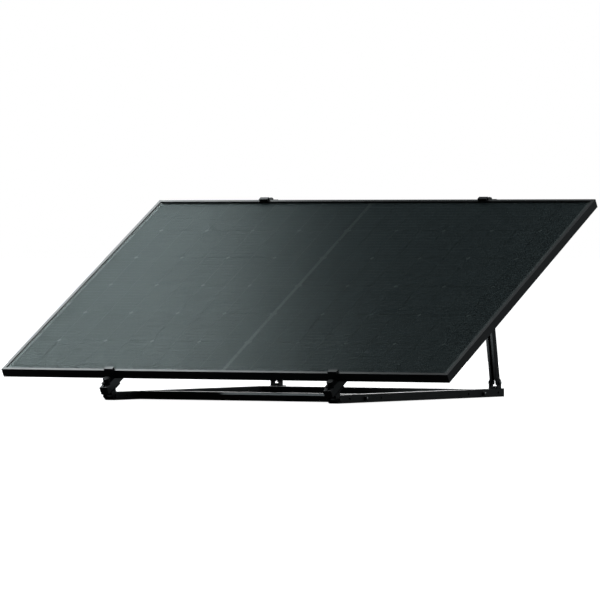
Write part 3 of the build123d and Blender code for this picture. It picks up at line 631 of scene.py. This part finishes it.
def make_floor():
    """Pale floor that glows to the camera only. Seen from below it's clear."""
    mesh = bpy.data.meshes.new("floor")
    grid = bmesh.new()
    bmesh.ops.create_circle(grid, cap_ends=True, radius=FLOOR_RADIUS, segments=96)
    grid.to_mesh(mesh)
    grid.free()
    floor = bpy.data.objects.new("floor", mesh)
    bpy.context.scene.collection.objects.link(floor)
    floor.location.z = -FLOOR_DROP
    s = Shade("pale_floor")
    seen = s.node("ShaderNodeLightPath").outputs["Is Camera Ray"]
    lit = s.node("ShaderNodeBsdfDiffuse", {"Color": (*[FLOOR_TONE] * 3, 1.0)})
    glow = s.span(s.vector("LENGTH", s.place), *FLOOR_GLOW_GROWS, *FLOOR_GLOW, smooth=True)
    glow = s.node("ShaderNodeEmission", {"Strength": glow})
    pale = s.node("ShaderNodeAddShader", {0: lit.outputs[0], 1: glow.outputs[0]})
    dim = s.node("ShaderNodeBsdfDiffuse", {"Color": (*[FLOOR_BOUNCE_TONE] * 3, 1.0)})
    mixed = s.node("ShaderNodeMixShader", {0: seen, 1: dim.outputs[0], 2: pale.outputs[0]})
    from_below = s.node("ShaderNodeNewGeometry").outputs["Backfacing"]
    hidden = s.math("MULTIPLY", seen, from_below)
    clear = s.node("ShaderNodeBsdfTransparent")
    mixed = s.node("ShaderNodeMixShader", {0: hidden, 1: mixed.outputs[0], 2: clear.outputs[0]})
    surface = s.finish(mixed.outputs[0])
    surface.cycles.emission_sampling = "NONE"
    mesh.materials.append(surface)


ROOM_BRIGHT_SIDE = (0.0, 0.8, 0.6)
ROOM_FADE = (-0.75, 0.25)
ROOM_STRENGTH = (0.02, 0.17)
ROOM_TINT = (0.86, 0.97, 1.0)


def make_world():
    """White behind the object, and a dim soft room around it for everything else."""
    world = bpy.data.worlds.new("studio")
    bpy.context.scene.world = world
    world.use_nodes = True
    tree = world.node_tree
    tree.nodes.clear()
    place = tree.nodes.new("ShaderNodeTexCoord")
    rear = tree.nodes.new("ShaderNodeVectorMath")
    rear.operation = "DOT_PRODUCT"
    rear.inputs[1].default_value = ROOM_BRIGHT_SIDE
    tree.links.new(place.outputs["Generated"], rear.inputs[0])
    fade = tree.nodes.new("ShaderNodeMapRange")
    fade.interpolation_type = "SMOOTHSTEP"
    for index, value in enumerate((*ROOM_FADE, *ROOM_STRENGTH), 1):
        fade.inputs[index].default_value = value
    tree.links.new(rear.outputs["Value"], fade.inputs["Value"])
    room = tree.nodes.new("ShaderNodeBackground")
    room.inputs["Color"].default_value = (*ROOM_TINT, 1.0)
    tree.links.new(fade.outputs["Result"], room.inputs["Strength"])
    white = tree.nodes.new("ShaderNodeBackground")
    white.inputs["Color"].default_value = (1.0, 1.0, 1.0, 1.0)
    white.inputs["Strength"].default_value = 1.0
    ray = tree.nodes.new("ShaderNodeLightPath")
    mix = tree.nodes.new("ShaderNodeMixShader")
    out = tree.nodes.new("ShaderNodeOutputWorld")
    tree.links.new(ray.outputs["Is Camera Ray"], mix.inputs[0])
    tree.links.new(room.outputs[0], mix.inputs[1])
    tree.links.new(white.outputs[0], mix.inputs[2])
    tree.links.new(mix.outputs[0], out.inputs[0])


def area_light(name, place, towards, width, height, strength, colour=(1, 1, 1)):
    """Soft rectangular lamp. strength is its brightness, whatever its size."""
    data = bpy.data.lights.new(name, "AREA")
    data.shape = "RECTANGLE"
    data.size = width
    data.size_y = height
    data.color = colour
    data.energy = strength * width * height * math.pi
    lamp = bpy.data.objects.new(name, data)
    bpy.context.scene.collection.objects.link(lamp)
    lamp.location = place
    lamp.rotation_mode = "QUATERNION"
    lamp.rotation_quaternion = (Vector(towards) - Vector(place)).to_track_quat("-Z", "Y")
    lamp.visible_camera = False


SOFTBOX_DISTANCE = 3.0
SOFTBOX_BRIGHTNESS = 3.75
SOFTBOX_TINT = (0.92, 0.985, 1.0, 1.0)
SOFTBOX_FADE = (-0.12, 0.42)
SOFTBOX_FAR = 1.6
SOFTBOX_HALF_WIDTH = 1.3
SOFTBOX_FADE_POWER = 1.4
SOFTBOX_FADE_SIDE, SOFTBOX_FADE_UP = 0.733, -0.68


def make_softbox():
    """Large softbox up, left and behind the panel, with one feathered edge. The glass mirrors
    that edge towards the camera, so it fades from left to right."""
    centre = middle("front_glass")
    sight = (centre - bpy.context.scene.camera.location).normalized()
    bounce = sight - 2 * sight.dot(NORMAL) * NORMAL
    side = Vector((0, 0, 1)).cross(bounce).normalized()
    up = bounce.cross(side)
    fade = (SOFTBOX_FADE_SIDE * side + SOFTBOX_FADE_UP * up).normalized()
    width = fade.cross(bounce)
    origin = centre + bounce * SOFTBOX_DISTANCE
    near, far = SOFTBOX_FADE[0], SOFTBOX_FAR
    corners = []
    for along, across in ((near, -1), (far, -1), (far, 1), (near, 1)):
        corners.append(origin + fade * along + width * across * SOFTBOX_HALF_WIDTH)
    mesh = bpy.data.meshes.new("softbox")
    mesh.from_pydata([tuple(corner) for corner in corners], [], [(0, 1, 2, 3)])
    box = bpy.data.objects.new("softbox", mesh)
    bpy.context.scene.collection.objects.link(box)
    box.visible_camera = False
    s = Shade("softbox_face")
    along = s.vector("DOT_PRODUCT", s.place, tuple(fade))
    start = origin.dot(fade)
    ramp = s.span(along, start + SOFTBOX_FADE[0], start + SOFTBOX_FADE[1])
    ramp = s.math("POWER", ramp, SOFTBOX_FADE_POWER)
    strength = s.math("MULTIPLY", ramp, SOFTBOX_BRIGHTNESS)
    glow = s.node("ShaderNodeEmission", {"Color": SOFTBOX_TINT, "Strength": strength})
    mesh.materials.append(s.finish(glow.outputs[0]))


AT_THE_STAND = (0.0, 0.0, 0.3)


def make_lights():
    """The softbox, three soft lamps around, and the light that a pale floor throws up."""
    make_softbox()
    area_light("ceiling", (0.4, 0.6, 5.0), (0.0, 0.0, 0.0), width=5.0, height=4.0, strength=0.35)
    area_light("behind", (-3.2, 5.0, 0.9), AT_THE_STAND, width=3.0, height=1.8, strength=3.0)
    area_light("rear_right", (4.1, 3.4, 2.9), AT_THE_STAND, width=2.4, height=2.0, strength=2.2)
    # Aimed a little off the vertical, which sets the directions of its width and height
    area_light("floor_bounce", (0.15, -0.16, 0.014), (0.15, -0.13, 1.0), width=0.5, height=0.48,
               strength=3.2, colour=ROOM_TINT)


CLEAR_FACES_CROSSED = 32


def set_view():
    """Plain colours, and enough passes through the pane and its films, both ways."""
    scene = bpy.context.scene
    scene.view_settings.view_transform = "Standard"
    scene.view_settings.look = "None"
    scene.cycles.transparent_max_bounces = CLEAR_FACES_CROSSED


# ---- Scene --------------------------------------------------------------------------------------

make_camera()
set_view()
make_world()
make_floor()
make_lights()
SLOT_FINISH = paint_nodes()
for film in ("front_encapsulant", "rear_encapsulant"):
    shrink(film, FILM_INSET)
for edge_width, edge_nodes in EDGES.items():
    for node_name in edge_nodes:
        soften(node_name, edge_width * MM)
make_wires()
# Plated bolt crowns, whose light tone is partly a painted highlight on the bolt heads
make_glint_crowns(SLOT_FINISH["zinc_steel"])
